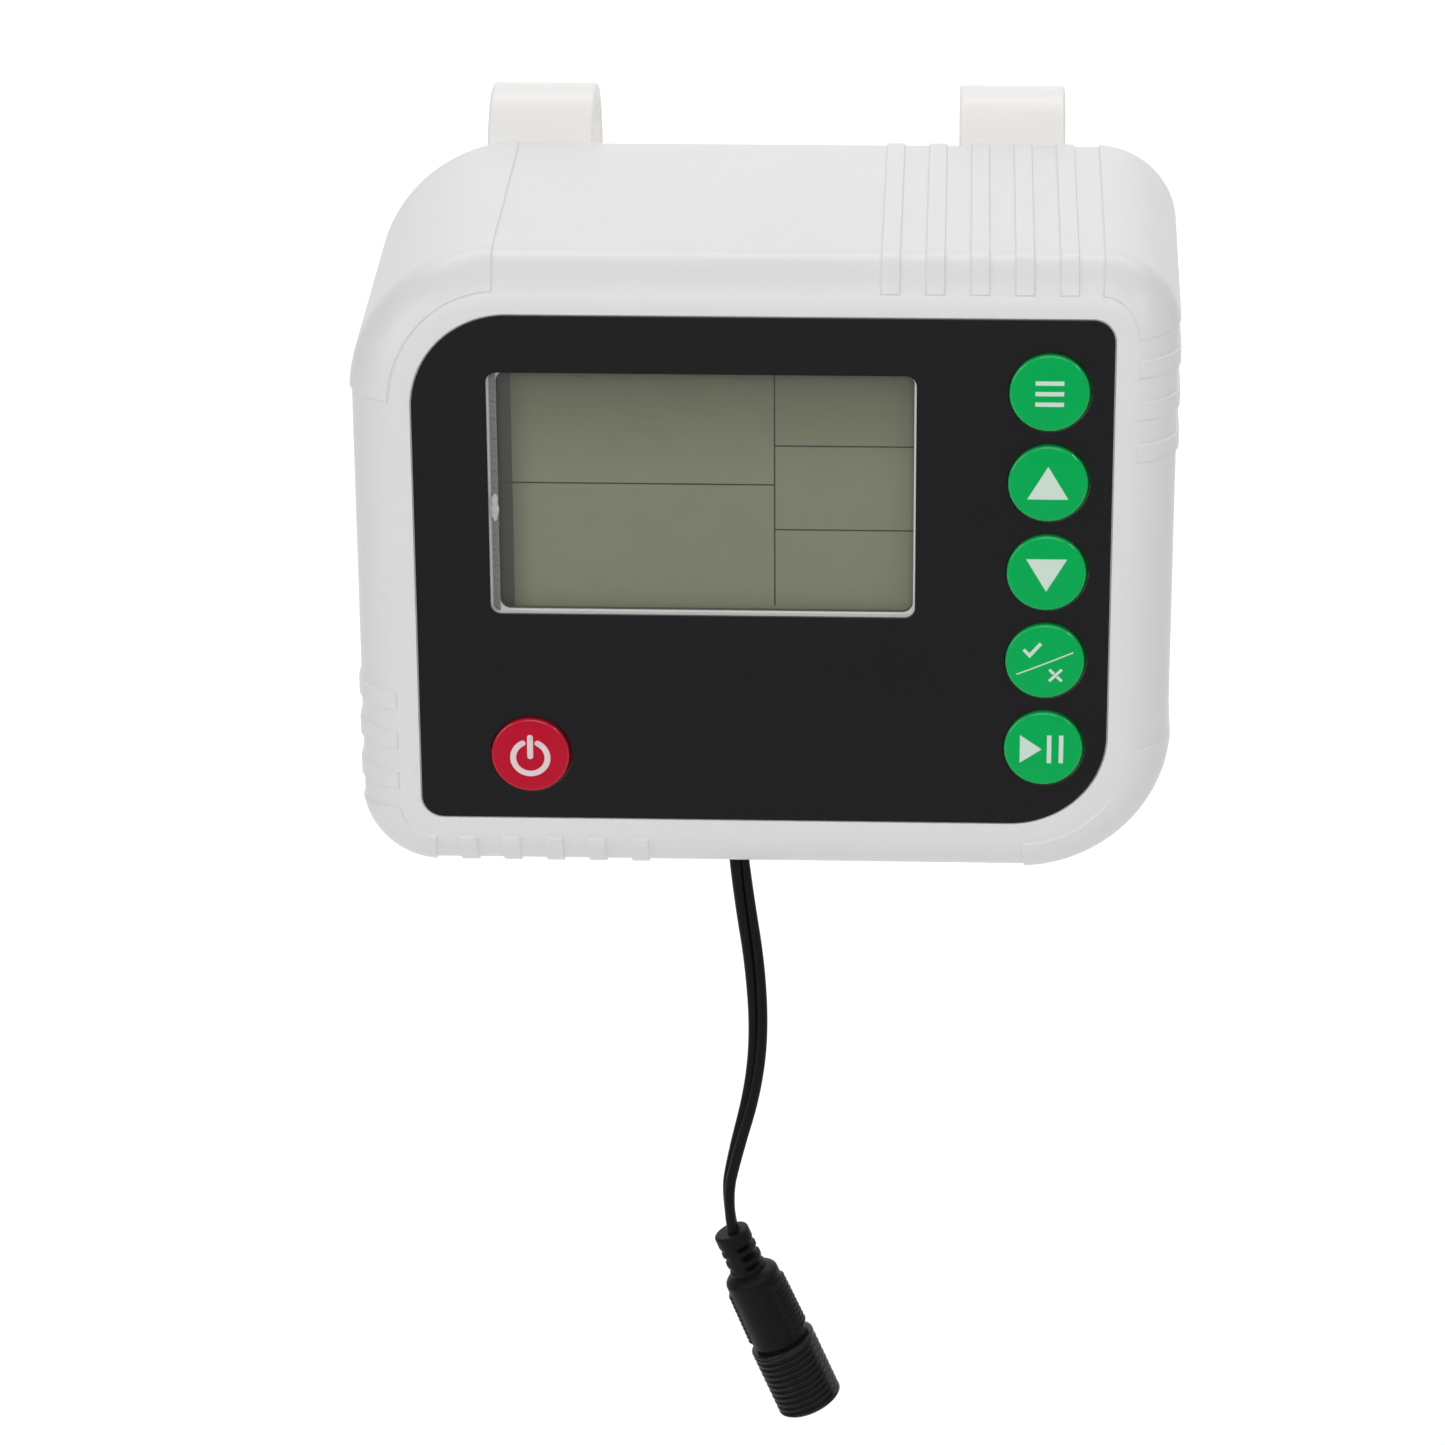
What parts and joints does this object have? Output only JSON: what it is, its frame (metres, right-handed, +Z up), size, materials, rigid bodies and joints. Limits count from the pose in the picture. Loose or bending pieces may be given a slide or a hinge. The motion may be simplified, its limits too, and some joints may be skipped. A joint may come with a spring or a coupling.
{
  "type": "gym round timer",
  "caption": "Boxing round timer: deep white plastic case with an LCD behind a black overlay, push buttons, hooks for a bar at the back and a short lead with a threaded inline socket.",
  "frame": {"origin": "on the axis of the bar that the two back hooks sit on, midway between the hooks", "axes": "+X to the right of someone reading the display, along the bar; +Y from the display to the back; +Z up"},
  "size_m": [0.1606, 0.111, 0.2761],
  "materials": {
    "white_plastic": "satin moulded",
    "hook_plastic": "satin moulded",
    "screw_steel": "zinc plated",
    "overlay_black": "fine matt printed sheet",
    "clear_lens": "polished clear plastic",
    "lcd_face": "grey-green polariser",
    "black_plastic": "moulded",
    "strip_rubber": "matt",
    "board_green": "solder mask",
    "capacitor_sleeve": "shrink sleeve",
    "natural_nylon": "moulded",
    "speaker_steel": "pressed",
    "speaker_paper": "paper pulp",
    "lead_rubber": "soft satin",
    "connector_plastic": "satin moulded",
    "contact_brass": "plated",
    "green_plastic": "gloss moulded",
    "red_plastic": "gloss moulded",
    "plunger_plastic": "moulded"
  },
  "bodies": {
    "case": {"front_case": "white_plastic", "back_cover": "white_plastic", "hook_left": "hook_plastic", "hook_right": "hook_plastic", "cover_screws": "screw_steel", "hook_screws": "screw_steel", "board_screws": "screw_steel", "speaker_screws": "screw_steel", "speaker_washers": "screw_steel", "overlay_panel": "overlay_black", "display_lens": "clear_lens", "lcd_glass": "lcd_face", "lcd_frame": "black_plastic", "zebra_strips": "strip_rubber", "main_board": "board_green", "switch_bodies": "black_plastic", "controller_chip": "black_plastic", "capacitors": "capacitor_sleeve", "lead_header": "natural_nylon", "lead_plug": "natural_nylon", "speaker_gasket": "strip_rubber", "speaker_basket": "speaker_steel", "speaker_cone": "speaker_paper", "lead_bush": "lead_rubber", "internal_lead": "lead_rubber", "power_lead": "lead_rubber", "connector_body": "lead_rubber", "connector_barrel": "connector_plastic", "connector_insulator": "connector_plastic", "connector_pin": "contact_brass"},
    "menu_key": {"menu_button": "green_plastic", "menu_plunger": "plunger_plastic"},
    "up_key": {"up_button": "green_plastic", "up_plunger": "plunger_plastic"},
    "down_key": {"down_button": "green_plastic", "down_plunger": "plunger_plastic"},
    "confirm_key": {"confirm_button": "green_plastic", "confirm_plunger": "plunger_plastic"},
    "start_key": {"start_button": "green_plastic", "start_plunger": "plunger_plastic"},
    "power_key": {"power_button": "red_plastic", "power_plunger": "plunger_plastic"}
  },
  "joints": [
    {"name": "menu_press", "type": "slide", "parent": "case", "child": "menu_key", "axis": [0, 1, 0], "range_m": [0, 0.0006], "stiffness_N_per_m": 2500},
    {"name": "up_press", "type": "slide", "parent": "case", "child": "up_key", "axis": [0, 1, 0], "range_m": [0, 0.0006], "stiffness_N_per_m": 2500},
    {"name": "down_press", "type": "slide", "parent": "case", "child": "down_key", "axis": [0, 1, 0], "range_m": [0, 0.0006], "stiffness_N_per_m": 2500},
    {"name": "confirm_press", "type": "slide", "parent": "case", "child": "confirm_key", "axis": [0, 1, 0], "range_m": [0, 0.0006], "stiffness_N_per_m": 2500},
    {"name": "start_press", "type": "slide", "parent": "case", "child": "start_key", "axis": [0, 1, 0], "range_m": [0, 0.0006], "stiffness_N_per_m": 2500},
    {"name": "power_press", "type": "slide", "parent": "case", "child": "power_key", "axis": [0, 1, 0], "range_m": [0, 0.0006], "stiffness_N_per_m": 2500}
  ]
}
